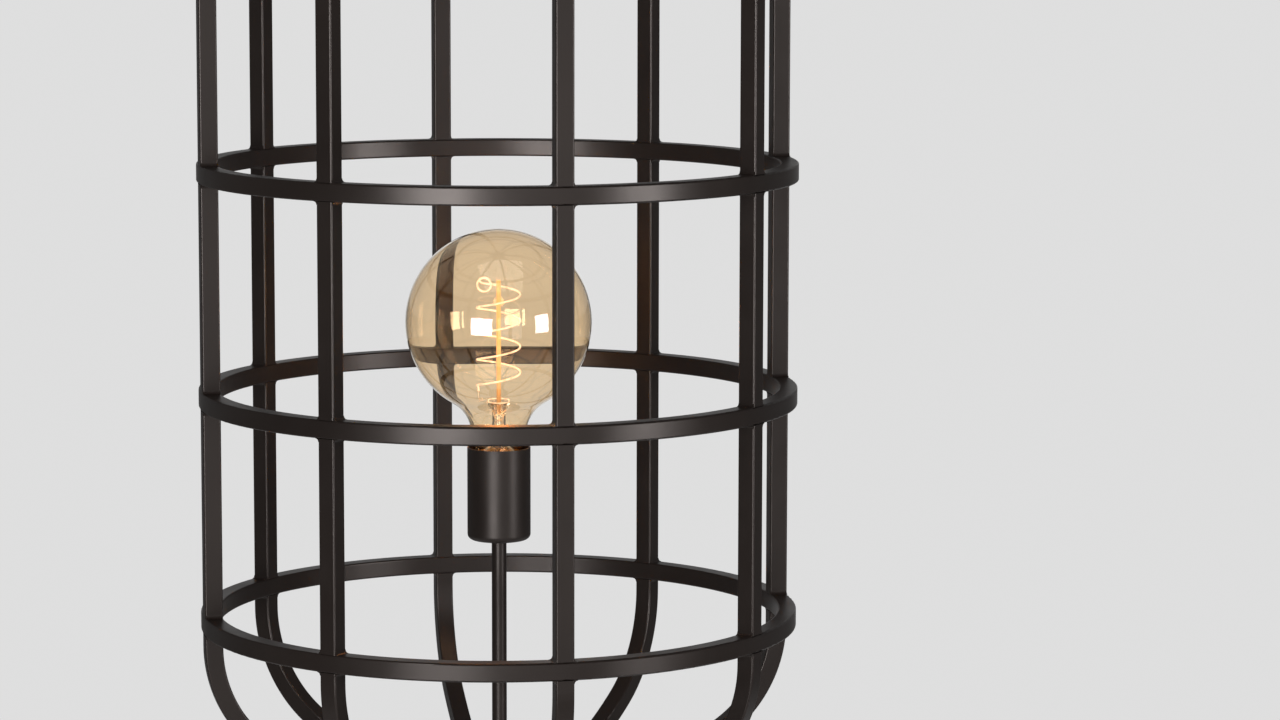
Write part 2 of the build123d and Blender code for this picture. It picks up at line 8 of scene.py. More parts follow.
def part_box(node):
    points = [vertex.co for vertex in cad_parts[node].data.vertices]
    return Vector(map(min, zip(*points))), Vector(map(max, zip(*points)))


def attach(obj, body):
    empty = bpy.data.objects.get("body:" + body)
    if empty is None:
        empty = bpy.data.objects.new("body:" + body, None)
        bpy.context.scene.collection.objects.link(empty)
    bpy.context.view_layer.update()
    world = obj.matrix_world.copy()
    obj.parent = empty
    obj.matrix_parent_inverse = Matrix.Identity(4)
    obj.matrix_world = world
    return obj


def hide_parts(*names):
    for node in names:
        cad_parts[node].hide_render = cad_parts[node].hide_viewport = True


# Wire cage floor lamp, dressed. Metres, +Z up, the frame's own axes.

MM = 0.001
TOUCH = 0.01 * MM
TURN_STEPS = 72

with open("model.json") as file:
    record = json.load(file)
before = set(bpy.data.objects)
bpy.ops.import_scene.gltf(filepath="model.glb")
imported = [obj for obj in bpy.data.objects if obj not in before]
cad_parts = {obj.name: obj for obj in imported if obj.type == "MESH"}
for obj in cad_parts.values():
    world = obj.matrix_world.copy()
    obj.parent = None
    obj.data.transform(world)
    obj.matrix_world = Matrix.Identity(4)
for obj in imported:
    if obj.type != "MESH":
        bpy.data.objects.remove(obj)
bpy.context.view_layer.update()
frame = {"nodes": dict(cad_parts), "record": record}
nodes = frame["nodes"]


# --- sizes read from the frame ---
def top_of(node):
    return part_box(node)[1].z


def foot_of(node):
    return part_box(node)[0].z


def width_of(node):
    low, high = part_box(node)
    return high.x - low.x


RING_NODES = [f"cage_ring_{number}" for number in range(1, 5)]
RIB_COUNT = 8
FIRST_RIB = math.radians(22.5)
ring_low = [foot_of(name) for name in RING_NODES]
BAR = top_of("cage_ring_1") - ring_low[0]
RING_RADIUS = width_of("cage_ring_1") / 2
BAR_RADIUS = RING_RADIUS - BAR / 2

STEM_TOP = top_of("bulb_stem")

CAMERA_LENS = 117.3
CAMERA_PLACE = Vector((0.50524, -2.72310, 1.49879))
CAMERA_HEADING = math.radians(98.554)
CAMERA_DIP = math.radians(7.404)
CAMERA_ROLL = math.radians(0.12)


# --- materials ---
class Finish:
    """A node material under construction: a Principled shader and patterns in the object's own metres."""

    def __init__(self, name, colour, roughness, metallic=0.0):
        self.material = bpy.data.materials.new(name)
        self.material.use_nodes = True
        self.tree = self.material.node_tree
        self.shader = self.tree.nodes["Principled BSDF"]
        self.shader.inputs["Base Color"].default_value = (*colour, 1.0)
        self.shader.inputs["Roughness"].default_value = roughness
        self.shader.inputs["Metallic"].default_value = metallic
        self.place = self.tree.nodes.new("ShaderNodeTexCoord").outputs["Object"]

    def add(self, kind, **settings):
        node = self.tree.nodes.new(kind)
        for key, value in settings.items():
            setattr(node, key, value)
        return node

    def link(self, source, target):
        self.tree.links.new(source, target)

    def noise(self, size, detail=3.0, stretch=(1.0, 1.0, 1.0)):
        """Cloudy noise whose patches are about size metres across."""
        mapping = self.add("ShaderNodeMapping")
        mapping.inputs["Scale"].default_value = stretch
        self.link(self.place, mapping.inputs["Vector"])
        noise = self.add("ShaderNodeTexNoise")
        noise.inputs["Scale"].default_value = 1.0 / size
        noise.inputs["Detail"].default_value = detail
        self.link(mapping.outputs["Vector"], noise.inputs["Vector"])
        return noise.outputs["Fac"]

    def between(self, pattern, low, high):
        """The pattern's middle range, spread from low to high."""
        spread = self.add("ShaderNodeMapRange")
        spread.inputs["From Min"].default_value = 0.3
        spread.inputs["From Max"].default_value = 0.7
        spread.inputs["To Min"].default_value = low
        spread.inputs["To Max"].default_value = high
        self.link(pattern, spread.inputs["Value"])
        return spread.outputs["Result"]

    def colours(self, pattern, first, second):
        """The base colour wanders between two colours with the pattern."""
        mix = self.add("ShaderNodeMix", data_type="RGBA")
        mix.inputs["A"].default_value = (*first, 1.0)
        mix.inputs["B"].default_value = (*second, 1.0)
        self.link(self.between(pattern, 0.0, 1.0), mix.inputs["Factor"])
        self.link(mix.outputs["Result"], self.shader.inputs["Base Color"])

    def roughness(self, pattern, low, high):
        self.link(self.between(pattern, low, high), self.shader.inputs["Roughness"])

    def dulled_edge(self, roughness, more):
        """The roughness grows by more where the surface is seen edge on, as on a pebbled film."""
        facing = self.add("ShaderNodeLayerWeight")
        facing.inputs["Blend"].default_value = 0.5
        edge = self.add("ShaderNodeMapRange")
        edge.inputs["From Min"].default_value = 0.45
        edge.inputs["From Max"].default_value = 1.0
        edge.inputs["To Max"].default_value = more
        self.link(facing.outputs["Facing"], edge.inputs["Value"])
        total = self.add("ShaderNodeMath", operation="ADD")
        self.link(roughness, total.inputs[0])
        self.link(edge.outputs["Result"], total.inputs[1])
        self.link(total.outputs["Value"], self.shader.inputs["Roughness"])

    def bump(self, pattern, height, strength=1.0):
        bump = self.add("ShaderNodeBump")
        bump.inputs["Strength"].default_value = strength
        bump.inputs["Distance"].default_value = height
        self.link(pattern, bump.inputs["Height"])
        self.link(bump.outputs["Normal"], self.shader.inputs["Normal"])


def powder_coat(name, smoothest, roughest):
    """Very dark brown satin powder coat: a fine pebble in the film, and slow changes of gloss."""
    finish = Finish(name, (0.0085, 0.006, 0.005), smoothest)
    finish.colours(finish.noise(90 * MM), (0.0072, 0.0050, 0.0042), (0.0105, 0.0076, 0.0064))
    finish.dulled_edge(finish.between(finish.noise(25 * MM), smoothest, roughest), 0.15)
    finish.bump(finish.noise(0.9 * MM, detail=2.0), 0.012 * MM, 0.5)
    finish.shader.inputs["Specular IOR Level"].default_value = 0.36
    finish.shader.inputs["Specular Tint"].default_value = (1.0, 0.9, 0.86, 1.0)
    return finish.material


def cast_iron():
    finish = Finish("cast_iron", (0.03, 0.03, 0.03), 0.7, metallic=0.6)
    finish.colours(finish.noise(6 * MM, detail=6.0), (0.018, 0.017, 0.017), (0.05, 0.047, 0.045))
    finish.bump(finish.noise(2.2 * MM, detail=5.0), 0.3 * MM)
    return finish.material


def black_rubber():
    finish = Finish("black_rubber", (0.012, 0.012, 0.012), 0.75)
    finish.roughness(finish.noise(8 * MM), 0.65, 0.85)
    finish.bump(finish.noise(0.6 * MM), 0.03 * MM)
    return finish.material


def zinc_steel():
    finish = Finish("zinc_steel", (0.55, 0.55, 0.53), 0.32, metallic=1.0)
    finish.colours(finish.noise(4 * MM, detail=5.0), (0.48, 0.48, 0.47), (0.62, 0.61, 0.58))
    finish.roughness(finish.noise(1.5 * MM), 0.24, 0.42)
    return finish.material


def bakelite():
    finish = Finish("bakelite", (0.012, 0.010, 0.009), 0.35)
    finish.colours(finish.noise(5 * MM, detail=5.0), (0.009, 0.007, 0.006), (0.02, 0.013, 0.010))
    finish.bump(finish.noise(0.5 * MM), 0.01 * MM)
    return finish.material


def brass():
    finish = Finish("brass", (0.78, 0.52, 0.22), 0.25, metallic=1.0)
    finish.colours(finish.noise(5 * MM, detail=4.0), (0.70, 0.45, 0.18), (0.84, 0.58, 0.27))
    finish.roughness(finish.noise(1.2 * MM), 0.2, 0.38)
    return finish.material


def black_vitrite():
    finish = Finish("black_vitrite", (0.008, 0.008, 0.01), 0.12)
    finish.bump(finish.noise(3 * MM), 0.05 * MM)
    return finish.material


def solder():
    finish = Finish("solder", (0.6, 0.6, 0.58), 0.38, metallic=1.0)
    finish.roughness(finish.noise(1.0 * MM), 0.3, 0.5)
    finish.bump(finish.noise(1.5 * MM), 0.08 * MM)
    return finish.material


def lead_wire():
    finish = Finish("lead_wire", (0.5, 0.46, 0.42), 0.35, metallic=1.0)
    finish.roughness(finish.noise(0.8 * MM), 0.3, 0.45)
    return finish.material


def glass(name, colour, roughness=0.0):
    """Blown glass. Lamps shine through it unbent, so that what is inside is lit plainly."""
    finish = Finish(name, colour, roughness)
    finish.shader.inputs["Transmission Weight"].default_value = 1.0
    finish.shader.inputs["IOR"].default_value = 1.45
    finish.bump(finish.noise(22 * MM, detail=1.0), 0.12 * MM, 0.35)
    clear = finish.add("ShaderNodeBsdfTransparent")
    clear.inputs["Color"].default_value = (*colour, 1.0)
    rays = finish.add("ShaderNodeLightPath")
    mix = finish.add("ShaderNodeMixShader")
    output = finish.tree.nodes["Material Output"]
    finish.link(rays.outputs["Is Shadow Ray"], mix.inputs["Fac"])
    finish.link(finish.shader.outputs["BSDF"], mix.inputs[1])
    finish.link(clear.outputs["BSDF"], mix.inputs[2])
    finish.link(mix.outputs["Shader"], output.inputs["Surface"])
    return finish.material


def glow(name, colour, base, weakest, strongest, cool=None):
    """A wire that glows unevenly along its length, and fades between the heights in cool."""
    finish = Finish(name, base, 0.4)
    finish.shader.inputs["Emission Color"].default_value = (*colour, 1.0)
    strength = finish.between(finish.noise(4 * MM), weakest, strongest)
    if cool:
        place = finish.add("ShaderNodeSeparateXYZ")
        finish.link(finish.place, place.inputs["Vector"])
        heat = finish.add("ShaderNodeMapRange")
        heat.inputs["From Min"].default_value = cool[0]
        heat.inputs["From Max"].default_value = cool[1]
        heat.inputs["To Min"].default_value = 0.3
        finish.link(place.outputs["Z"], heat.inputs["Value"])
        cooled = finish.add("ShaderNodeMath", operation="MULTIPLY")
        finish.link(strength, cooled.inputs[0])
        finish.link(heat.outputs["Result"], cooled.inputs[1])
        strength = cooled.outputs["Value"]
    finish.link(strength, finish.shader.inputs["Emission Strength"])
    return finish.material


# one finish for each material slot, and the painted glow of the wires in the stem
FINISHES = {
    "dark_powder_coat": powder_coat("dark_powder_coat", 0.29, 0.35),
    "cast_iron": cast_iron(),
    "black_rubber": black_rubber(),
    "zinc_steel": zinc_steel(),
    "bakelite": bakelite(),
    "brass": brass(),
    "black_vitrite": black_vitrite(),
    "solder": solder(),
    "lead_wire": lead_wire(),
    "amber_glass": glass("amber_glass", (0.97, 0.83, 0.64)),
    "clear_glass": glass("clear_glass", (0.96, 0.95, 0.93)),
    "glowing_support": glow("glowing_support", (1.0, 0.55, 0.22), (0.25, 0.12, 0.05), 0.8, 1.05,
                            (STEM_TOP - 2 * MM, STEM_TOP + 20 * MM)),
    # painted light: the stem's wires glow though they are no lamp
    "stem_painted_glow": glow("stem_painted_glow", (1.0, 0.62, 0.36), (0.3, 0.18, 0.1), 0.1, 1.5),
    "glowing_filament": glow("glowing_filament", (1.0, 0.72, 0.55), (0.3, 0.2, 0.15), 0.7, 1.8),
}
CUP_COAT = powder_coat("cup_powder_coat", 0.36, 0.42)


def give_finish(piece, finish):
    piece.data.materials.clear()
    piece.data.materials.append(finish)


def finish_cad_nodes():
    for part in frame["record"]["subparts"]:
        give_finish(nodes[part["node"]], FINISHES[part["material_slot"]])
    give_finish(nodes["holder_cup"], CUP_COAT)


# --- modelling by hand ---
def start_afresh():
    bpy.ops.object.select_all(action="DESELECT")


def settle(name):
    """Names the piece just added, and puts its place and size into its mesh."""
    piece = bpy.context.active_object
    piece.name = name
    bpy.ops.object.transform_apply(location=True, rotation=True, scale=True)
    return piece


def pick(piece, kind, wanted):
    """Goes into edit mode with only the wanted vertices, edges or faces selected."""
    start_afresh()
    piece.select_set(True)
    bpy.context.view_layer.objects.active = piece
    bpy.ops.object.mode_set(mode="EDIT")
    bpy.ops.mesh.select_mode(type=kind)
    bpy.ops.mesh.select_all(action="DESELECT")
    shape = bmesh.from_edit_mesh(piece.data)
    for part in {"VERT": shape.verts, "EDGE": shape.edges, "FACE": shape.faces}[kind]:
        if wanted(part):
            part.select_set(True)
    shape.select_flush_mode()
    bmesh.update_edit_mesh(piece.data)


def leave_edit():
    bpy.ops.object.mode_set(mode="OBJECT")


def at_height(height):
    return lambda part: all(abs(vertex.co.z - height) < TOUCH for vertex in part.verts)


def finish_with(piece, kind, **settings):
    """Adds one modifier and applies it."""
    modifier = piece.modifiers.new(kind.lower(), kind)
    for key, value in settings.items():
        setattr(modifier, key, value)
    start_afresh()
    piece.select_set(True)
    bpy.context.view_layer.objects.active = piece
    bpy.ops.object.modifier_apply(modifier=modifier.name)


def cut(piece, tool, operation="DIFFERENCE"):
    finish_with(piece, "BOOLEAN", object=tool, operation=operation, solver="EXACT")
    bpy.data.objects.remove(tool)


def copies(pattern, name, places):
    """Copies of one piece, each turned and moved by its own matrix, joined as a single object."""
    start_afresh()
    for place in places:
        twin = pattern.copy()
        twin.data = pattern.data.copy()
        twin.data.transform(place)
        bpy.context.scene.collection.objects.link(twin)
        twin.select_set(True)
        bpy.context.view_layer.objects.active = twin
    bpy.ops.object.join()
    joined = bpy.context.active_object
    joined.name = name
    return joined


def smooth(piece, angle=35):
    start_afresh()
    piece.select_set(True)
    bpy.context.view_layer.objects.active = piece
    bpy.ops.object.shade_smooth_by_angle(angle=math.radians(angle))


def turn(axis, degrees):
    return Matrix.Rotation(math.radians(degrees), 4, axis)


def shift(x, y, z):
    return Matrix.Translation((x, y, z))


# --- welds of the cage ---
WELD_LEG = 2.2 * MM
WELD_SINK = 0.3 * MM
WELD_END_GAP = 0.35 * MM
HOLLOW_ARC = 0.086


def make_weld_bead():
    """A ground weld along X: a hollow fillet with one leg along Y and one up Z, a little sunk in both."""
    start_afresh()
    side = WELD_LEG + WELD_SINK
    middle = side / 2 - WELD_SINK
    length = BAR - 2 * WELD_END_GAP
    bpy.ops.mesh.primitive_cube_add(size=1, location=(0, middle, middle), scale=(length, side, side))
    bead = settle("weld_bead")

    def outer_edge(edge):
        return all(vertex.co.y > middle and vertex.co.z > middle for vertex in edge.verts)

    pick(bead, "EDGE", outer_edge)
    bpy.ops.mesh.bevel(offset=WELD_LEG, offset_type="OFFSET", segments=5, profile=HOLLOW_ARC,
                       affect="EDGES")
    leave_edit()
    smooth(bead, 50)
    return bead


def make_ring_welds(bead):
    """Each column meets each ring in four corners: on both its sides, above the ring and below it."""
    for number, low in enumerate(ring_low):
        places = []
        for column in range(RIB_COUNT):
            around = turn("Z", math.degrees(FIRST_RIB) + 360 * column / RIB_COUNT)
            corners = [(1, low + BAR), (-1, low + BAR), (-1, low), (1, low)]
            for quarter, (side, height) in enumerate(corners):
                corner = shift(BAR_RADIUS, side * BAR / 2, height)
                places.append(around @ corner @ turn("X", 90 * quarter))
        welds = copies(bead, f"ring_welds_{number + 1}", places)
        give_finish(welds, FINISHES["dark_powder_coat"])
        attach(welds, "root")


def make_hub_welds(bead):
    """Upright welds on both sides of each rib, where it meets the hub's rim."""
    for end in ("bottom", "top"):
        low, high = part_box(f"{end}_hub")
        hub_radius = (high.x - low.x) / 2
        wall = math.sqrt(hub_radius ** 2 - (BAR / 2 + WELD_SINK) ** 2)
        places = []
        for rib in range(RIB_COUNT):
            around = turn("Z", math.degrees(FIRST_RIB) + 360 * rib / RIB_COUNT)
            for side, quarter in ((1, 0), (-1, 1)):
                corner = shift(wall, side * BAR / 2, (low.z + high.z) / 2)
                places.append(around @ corner @ turn("Y", 90) @ turn("X", 90 * quarter))
        welds = copies(bead, f"{end}_hub_welds", places)
        give_finish(welds, FINISHES["dark_powder_coat"])
        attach(welds, "root")


def make_welds():
    bead = make_weld_bead()
    make_ring_welds(bead)
    make_hub_welds(bead)
    bpy.data.objects.remove(bead)


# --- nuts and screws ---
ROD_NUT_FLATS = 17 * MM
ROD_BORE = 5.05 * MM
NUT_THICKNESS = 6 * MM
NUT_CHAMFER = 1.1 * MM
SCREW_RADIUS = 2.0 * MM
SOCKET_FLATS = 2.0 * MM
SOCKET_DEPTH = 2.2 * MM
SCREW_RIM = 0.3 * MM
SCREW_DROP = 0.1 * MM
# the blank is a little wider than the hexagon, whose corners would else lie on its surface
NUT_BLANK_SPARE = 0.02 * MM


def make_chamfered_nut(name, low):
    """A hexagon nut whose corners are turned down at both faces."""
    corner = ROD_NUT_FLATS / math.sqrt(3)
    middle = (0, 0, low + NUT_THICKNESS / 2)
    start_afresh()
    bpy.ops.mesh.primitive_cylinder_add(vertices=96, radius=corner + NUT_BLANK_SPARE, depth=NUT_THICKNESS,
                                        location=middle)
    turned = settle("turned_blank")
    pick(turned, "EDGE", lambda edge: at_height(low)(edge) or at_height(low + NUT_THICKNESS)(edge))
    bpy.ops.mesh.bevel(offset=NUT_CHAMFER, segments=1, affect="EDGES")
    leave_edit()
    start_afresh()
    bpy.ops.mesh.primitive_cylinder_add(vertices=6, radius=corner, depth=NUT_THICKNESS, location=middle,
                                        rotation=(0, 0, math.radians(30)))
    nut = settle(name)
    cut(nut, turned, "INTERSECT")
    start_afresh()
    bpy.ops.mesh.primitive_cylinder_add(vertices=64, radius=ROD_BORE, depth=2 * NUT_THICKNESS,
                                        location=middle)
    cut(nut, settle("nut_bore"))
    smooth(nut, 25)
    return nut


def make_rod_nuts():
    """The same nut twice, at the lowest and the highest place of the rod's nuts."""
    low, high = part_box("rod_nuts")
    nut = make_chamfered_nut("rod_nut", low.z)
    rise = high.z - NUT_THICKNESS - low.z
    nuts = copies(nut, "chamfered_rod_nuts", [Matrix.Identity(4), shift(0, 0, rise)])
    bpy.data.objects.remove(nut)
    give_finish(nuts, FINISHES["zinc_steel"])
    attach(nuts, "root")
    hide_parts("rod_nuts")


def make_set_screws():
    """Set screws with a hexagon socket, flush in the back of both collars."""
    screws = []
    low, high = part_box("collar_screws")
    for name in ("foot_collar", "cage_collar"):
        collar_low, collar_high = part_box(name)
        height = (collar_low.z + collar_high.z) / 2
        outer = collar_high.y - SCREW_DROP
        length = outer - low.y
        start_afresh()
        bpy.ops.mesh.primitive_cylinder_add(vertices=48, radius=SCREW_RADIUS, depth=length,
                                            location=(0, outer - length / 2, height),
                                            rotation=(math.pi / 2, 0, 0))
        screw = settle(f"{name}_set_screw")
        pick(screw, "EDGE", lambda edge: all(vertex.co.y > outer - TOUCH for vertex in edge.verts))
        bpy.ops.mesh.bevel(offset=SCREW_RIM, segments=2, affect="EDGES")
        leave_edit()
        start_afresh()
        bpy.ops.mesh.primitive_cylinder_add(vertices=6, radius=SOCKET_FLATS / math.sqrt(3),
                                            depth=2 * SOCKET_DEPTH, location=(0, outer, height),
                                            rotation=(math.pi / 2, 0, 0))
        cut(screw, settle("socket"))
        smooth(screw, 25)
        screws.append(screw)
    start_afresh()
    for screw in screws:
        screw.select_set(True)
        bpy.context.view_layer.objects.active = screw
    bpy.ops.object.join()
    joined = bpy.context.active_object
    joined.name = "collar_set_screws"
    give_finish(joined, FINISHES["zinc_steel"])
    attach(joined, "root")
    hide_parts("collar_screws")


# --- the bulb's cap and stem ---
THREAD_PITCH = 3.629 * MM
THREAD_CREST = 13.15 * MM
THREAD_DEPTH = 0.9 * MM
CAP_WALL = 0.35 * MM
CAP_LIP = 0.9 * MM
SKIRT_HEIGHT = 6 * MM
SKIRT_SLOPE = 2 * MM
THREAD_CUTS = 11
THREAD_END = 0.4 * MM
CAP_FOOT_RISE = 0.8 * MM
CAP_FOOT_TAPER = 1.5 * MM
MERGE_SLACK = 0.005 * MM
# less than the steps of the thread's mesh, so that the cut leaves a level rim
CUT_SLACK = 0.001 * MM


def grow_rim(piece, height, radius, new_height):
    """Extrudes the rim at one height to a round rim at another."""
    pick(piece, "EDGE", lambda edge: len(edge.link_faces) == 1 and at_height(height)(edge))
    bpy.ops.mesh.extrude_region_move()
    shape = bmesh.from_edit_mesh(piece.data)
    for vertex in shape.verts:
        if vertex.select:
            flat = vertex.co.xy.normalized() * radius
            vertex.co = (flat.x, flat.y, new_height)
    bmesh.update_edit_mesh(piece.data)
    leave_edit()


def make_threaded_cap():
    """The bulb's brass cap, with a real rolled thread: one wave of the wall, screwed up the axis."""
    low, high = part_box("bulb_cap")
    root = THREAD_CREST - THREAD_DEPTH
    thread_low = low.z + CAP_LIP
    thread_high = high.z - SKIRT_HEIGHT - THREAD_END
    start = thread_low - THREAD_PITCH
    start_afresh()
    bpy.ops.mesh.primitive_plane_add(size=THREAD_PITCH, rotation=(math.pi / 2, 0, 0),
                                     location=(root + THREAD_PITCH / 2, 0, start + THREAD_PITCH / 2))
    cap = settle("threaded_cap")
    pick(cap, "VERT", lambda vertex: vertex.co.x > root + THREAD_PITCH / 2)
    bpy.ops.mesh.delete(type="VERT")
    bpy.ops.mesh.select_all(action="SELECT")
    bpy.ops.mesh.subdivide(number_cuts=THREAD_CUTS)
    wave = bmesh.from_edit_mesh(cap.data)
    for vertex in wave.verts:
        along = (vertex.co.z - start) / THREAD_PITCH
        vertex.co.x = root + THREAD_DEPTH * (0.5 - 0.5 * math.cos(2 * math.pi * along))
    bmesh.update_edit_mesh(cap.data)
    leave_edit()
    turns = math.ceil((thread_high - start) / THREAD_PITCH)
    finish_with(cap, "SCREW", axis="Z", angle=2 * math.pi, screw_offset=THREAD_PITCH, iterations=turns,
                steps=TURN_STEPS, render_steps=TURN_STEPS, use_merge_vertices=True, merge_threshold=TOUCH)
    for height, clear in ((thread_low, "clear_inner"), (thread_high, "clear_outer")):
        pick(cap, "FACE", lambda face: True)
        bpy.ops.mesh.bisect(plane_co=(0, 0, height), plane_no=(0, 0, 1), threshold=CUT_SLACK,
                            **{clear: True})
        leave_edit()
    skirt = (high.x - low.x) / 2
    skirt_low = high.z - SKIRT_HEIGHT
    grow_rim(cap, thread_high, root, skirt_low)
    grow_rim(cap, skirt_low, skirt, skirt_low + SKIRT_SLOPE)
    grow_rim(cap, skirt_low + SKIRT_SLOPE, skirt, high.z)
    grow_rim(cap, thread_low, root, low.z + CAP_FOOT_RISE)
    grow_rim(cap, low.z + CAP_FOOT_RISE, root - CAP_FOOT_TAPER, low.z)
    pick(cap, "FACE", lambda face: True)
    bpy.ops.mesh.remove_doubles(threshold=MERGE_SLACK)
    bpy.ops.mesh.normals_make_consistent(inside=False)
    leave_edit()
    facing = sum(1 if face.normal.xy.dot(face.center.xy) > 0 else -1 for face in cap.data.polygons)
    if facing < 0:
        cap.data.flip_normals()
    finish_with(cap, "SOLIDIFY", thickness=CAP_WALL, offset=-1.0)
    smooth(cap, 40)
    give_finish(cap, FINISHES["brass"])
    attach(cap, "bulb")
    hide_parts("bulb_cap")


BUTTON_RADIUS = 5.2 * MM
BUTTON_THICKNESS = 2.3 * MM
BUTTON_RISE = 0.6 * MM
BUTTON_SQUASH = 0.85
LOOP_RADIUS = 6.9 * MM
LOOP_RISE = 2.4 * MM
LOOP_TILT = 1.2 * MM
WIRE = 0.35 * MM
WIRE_SIDES = 10
TWIST_RADIUS = 2.9 * MM
TWIST_PITCH = 9 * MM
TWIST_LENGTH = 12 * MM
TWIST_END = 1 * MM
TWIST_STEPS = 60


def make_stem_button():
    """The glass bead melted round the top of the stem."""
    start_afresh()
    bpy.ops.mesh.primitive_torus_add(major_segments=TURN_STEPS, minor_segments=24, major_radius=BUTTON_RADIUS,
                                     minor_radius=BUTTON_THICKNESS, location=(0, 0, STEM_TOP + BUTTON_RISE))
    button = settle("stem_button")
    pick(button, "FACE", lambda face: True)
    bpy.ops.transform.resize(value=(1, 1, BUTTON_SQUASH), center_override=(0, 0, STEM_TOP + BUTTON_RISE))
    leave_edit()
    smooth(button, 60)
    give_finish(button, FINISHES["clear_glass"])
    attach(button, "bulb")


def make_glow_loop():
    """A ring on the shoulder of the stem's glass bead, given the filament's glow: a painted highlight, the
    bright oval round the foot of the support.
    """
    start_afresh()
    bpy.ops.mesh.primitive_torus_add(major_segments=TURN_STEPS, minor_segments=10, major_radius=LOOP_RADIUS,
                                     minor_radius=WIRE, location=(0, 0, STEM_TOP + LOOP_RISE))
    loop = settle("bead_painted_highlight")
    pick(loop, "VERT", lambda vertex: vertex.co.y > 0)
    bpy.ops.transform.translate(value=(0, 0, LOOP_TILT), use_proportional_edit=False)
    leave_edit()
    smooth(loop, 60)
    # painted highlight: the filament's glow on a ring that is no filament
    give_finish(loop, FINISHES["glowing_filament"])
    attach(loop, "bulb")


def make_twisted_wires():
    """Two wires twisted round each other in the stem, which show as a lattice. Their glow is painted light:
    they are no lamp, and stand in for the filament's light caught in the stem.
    """
    start_afresh()
    bpy.ops.mesh.primitive_circle_add(vertices=WIRE_SIDES, radius=WIRE, rotation=(math.pi / 2, 0, 0),
                                      location=(TWIST_RADIUS, 0, STEM_TOP - TWIST_LENGTH), fill_type="NGON")
    wire = settle("twisted_wire")
    turns = (TWIST_LENGTH - TWIST_END) / TWIST_PITCH
    finish_with(wire, "SCREW", axis="Z", angle=2 * math.pi * turns, screw_offset=TWIST_PITCH * turns,
                iterations=1, steps=TWIST_STEPS, render_steps=TWIST_STEPS)
    wires = copies(wire, "stem_wires", [Matrix.Identity(4), turn("Z", 180)])
    bpy.data.objects.remove(wire)
    pick(wires, "FACE", lambda face: True)
    bpy.ops.mesh.fill_holes(sides=WIRE_SIDES)
    bpy.ops.mesh.select_all(action="SELECT")
    bpy.ops.mesh.normals_make_consistent(inside=False)
    leave_edit()
    smooth(wires, 60)
    # painted light: the filament's light caught in the stem, given to the wires as their own glow
    give_finish(wires, FINISHES["stem_painted_glow"])
    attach(wires, "bulb")


# --- floor, lamps and camera ---
PALE = 0.735
DIM = 0.12
ROOM_LIGHT = 0.42
PALE_STARTS = 0.90
PALE_FULL = 0.99
FLOOR_RADIUS = 90
LIT_RADIUS = 0.8
PLAIN_RADIUS = 3.2

# name, bearing and rise in degrees, distance, width, height, radiance
BULB_SOFTBOXES = (
    ("left_lamp", -20.9, 0.4, 5.0, 2.33, 1.83, 15.0),
    ("right_lamp", 54.8, 2.1, 5.0, 1.58, 1.73, 15.0),
    ("fill_lamp", 14, -4, 4.6, 2.4, 2.6, 1.2),
)
TOP_SOFTBOX = ("top_lamp", 10, 68, 2.6, 2.0, 2.0, 3.0)
TOP_TARGET = Vector((0, 0, 1.0))
GLOW_COLOUR = (1.0, 0.42, 0.15)
GLOW_POWER = 0.3
GLOW_SIZE = 4 * MM
GLOW_RISE = 42 * MM


def seen_in_gloss(tree, bearing):
    """What gloss shows of the room: pale behind the lamp, seen from the camera, and dim elsewhere."""
    behind = tree.nodes.new("ShaderNodeVectorMath")
    behind.operation = "DOT_PRODUCT"
    behind.inputs[1].default_value = (math.cos(CAMERA_HEADING), math.sin(CAMERA_HEADING), 0.0)
    tree.links.new(bearing, behind.inputs[0])
    tone = tree.nodes.new("ShaderNodeMapRange")
    tone.interpolation_type = "SMOOTHSTEP"
    tone.inputs["From Min"].default_value = PALE_STARTS
    tone.inputs["From Max"].default_value = PALE_FULL
    tone.inputs["To Min"].default_value = DIM
    tone.inputs["To Max"].default_value = PALE
    tree.links.new(behind.outputs["Value"], tone.inputs["Value"])
    return tone.outputs["Result"]


def make_floor():
    """A wide pale floor. Near the lamp it is lit, and further out it is a plain pale tone."""
    bpy.ops.mesh.primitive_circle_add(vertices=128, radius=FLOOR_RADIUS, fill_type="NGON", location=(0, 0, 0))
    floor = bpy.context.active_object
    floor.name = "studio_floor"
    finish = Finish("pale_floor", (0.62, 0.62, 0.62), 0.9)
    plain = finish.add("ShaderNodeEmission")
    plain.inputs["Color"].default_value = (1.0, 1.0, 1.0, 1.0)
    rays = finish.add("ShaderNodeLightPath")
    tone = finish.add("ShaderNodeMix")
    tone.inputs["A"].default_value = PALE
    finish.link(rays.outputs["Is Glossy Ray"], tone.inputs["Factor"])
    bearing = finish.add("ShaderNodeVectorMath", operation="NORMALIZE")
    finish.link(finish.place, bearing.inputs[0])
    finish.link(seen_in_gloss(finish.tree, bearing.outputs["Vector"]), tone.inputs["B"])
    finish.link(tone.outputs["Result"], plain.inputs["Strength"])
    middle = finish.add("ShaderNodeVectorMath", operation="LENGTH")
    finish.link(finish.place, middle.inputs[0])
    fade = finish.add("ShaderNodeMapRange", interpolation_type="SMOOTHSTEP")
    fade.inputs["From Min"].default_value = LIT_RADIUS
    fade.inputs["From Max"].default_value = PLAIN_RADIUS
    finish.link(middle.outputs["Value"], fade.inputs["Value"])
    mix = finish.add("ShaderNodeMixShader")
    finish.link(fade.outputs["Result"], mix.inputs["Fac"])
    finish.link(finish.shader.outputs["BSDF"], mix.inputs[1])
    finish.link(plain.outputs["Emission"], mix.inputs[2])
    finish.link(mix.outputs["Shader"], finish.tree.nodes["Material Output"].inputs["Surface"])
    floor.data.materials.append(finish.material)


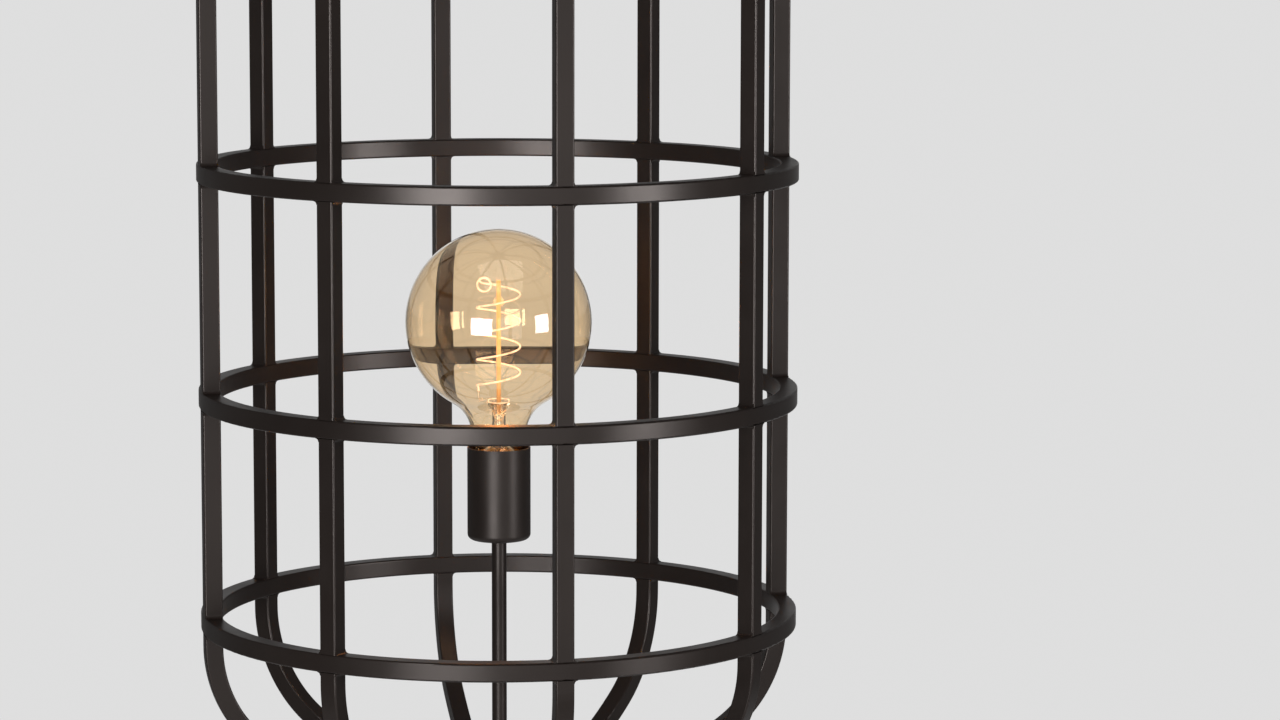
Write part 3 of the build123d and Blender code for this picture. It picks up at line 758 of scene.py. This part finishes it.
def make_surroundings():
    """A pale room all round: plain behind the lamp and in its glass, and softer as light."""
    world = bpy.data.worlds.new("pale_room")
    bpy.context.scene.world = world
    world.use_nodes = True
    tree = world.node_tree
    background = tree.nodes["Background"]
    background.inputs["Color"].default_value = (1.0, 1.0, 1.0, 1.0)
    rays = tree.nodes.new("ShaderNodeLightPath")
    seen = tree.nodes.new("ShaderNodeMath")
    seen.operation = "MAXIMUM"
    tree.links.new(rays.outputs["Is Camera Ray"], seen.inputs[0])
    tree.links.new(rays.outputs["Is Transmission Ray"], seen.inputs[1])
    direction = tree.nodes.new("ShaderNodeTexCoord").outputs["Generated"]
    gloss = tree.nodes.new("ShaderNodeMix")
    gloss.inputs["A"].default_value = ROOM_LIGHT
    tree.links.new(rays.outputs["Is Glossy Ray"], gloss.inputs["Factor"])
    tree.links.new(seen_in_gloss(tree, direction), gloss.inputs["B"])
    level = tree.nodes.new("ShaderNodeMix")
    level.inputs["B"].default_value = PALE
    tree.links.new(seen.outputs["Value"], level.inputs["Factor"])
    tree.links.new(gloss.outputs["Result"], level.inputs["A"])
    tree.links.new(level.outputs["Result"], background.inputs["Strength"])


def aim(thing, place, target):
    thing.location = place
    thing.rotation_euler = (target - place).to_track_quat("-Z", "Y").to_euler()


def make_softbox(name, bearing, rise, distance, width, height, radiance, target):
    """A rectangular lamp aimed at the target, its bearing in degrees to the right of the camera."""
    lamp = bpy.data.lights.new(name, "AREA")
    lamp.shape = "RECTANGLE"
    lamp.size = width
    lamp.size_y = height
    lamp.energy = radiance * math.pi * width * height
    box = bpy.data.objects.new(name, lamp)
    bpy.context.scene.collection.objects.link(box)
    to_camera = math.atan2(CAMERA_PLACE.y - target.y, CAMERA_PLACE.x - target.x)
    heading = to_camera + math.radians(bearing)
    tilt = math.radians(rise)
    away = Vector((math.cos(heading) * math.cos(tilt), math.sin(heading) * math.cos(tilt), math.sin(tilt)))
    aim(box, target + away * distance, target)
    box.visible_camera = False
    return box


def make_lamps():
    bulb_low, bulb_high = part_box("bulb_globe")
    bulb = Vector((0, 0, bulb_high.z - (bulb_high.x - bulb_low.x) / 2))
    for softbox in BULB_SOFTBOXES:
        make_softbox(*softbox, bulb)
    glow_light = bpy.data.lights.new("bulb_glow", "POINT")
    glow_light.color = GLOW_COLOUR
    glow_light.energy = GLOW_POWER
    glow_light.shadow_soft_size = GLOW_SIZE
    glow_place = bpy.data.objects.new("bulb_glow", glow_light)
    bpy.context.scene.collection.objects.link(glow_place)
    glow_place.location = (0, 0, STEM_TOP + GLOW_RISE)
    glow_place.visible_camera = False
    glow_place.visible_transmission = False
    top = make_softbox(*TOP_SOFTBOX, TOP_TARGET)
    top.visible_glossy = False


def make_camera():
    data = bpy.data.cameras.new("camera")
    data.lens = CAMERA_LENS
    data.sensor_width = 36
    data.clip_end = 200
    camera = bpy.data.objects.new("camera", data)
    bpy.context.scene.collection.objects.link(camera)
    attitude = (Matrix.Rotation(CAMERA_HEADING - math.pi / 2, 3, "Z")
                @ Matrix.Rotation(math.pi / 2 - CAMERA_DIP, 3, "X")
                @ Matrix.Rotation(CAMERA_ROLL, 3, "Z"))
    camera.location = CAMERA_PLACE
    camera.rotation_euler = attitude.to_euler()
    bpy.context.scene.camera = camera


def main():
    bpy.context.scene.view_settings.view_transform = "Standard"
    finish_cad_nodes()
    make_welds()
    make_rod_nuts()
    make_set_screws()
    make_threaded_cap()
    make_stem_button()
    make_glow_loop()
    make_twisted_wires()
    make_floor()
    make_surroundings()
    make_lamps()
    make_camera()


main()
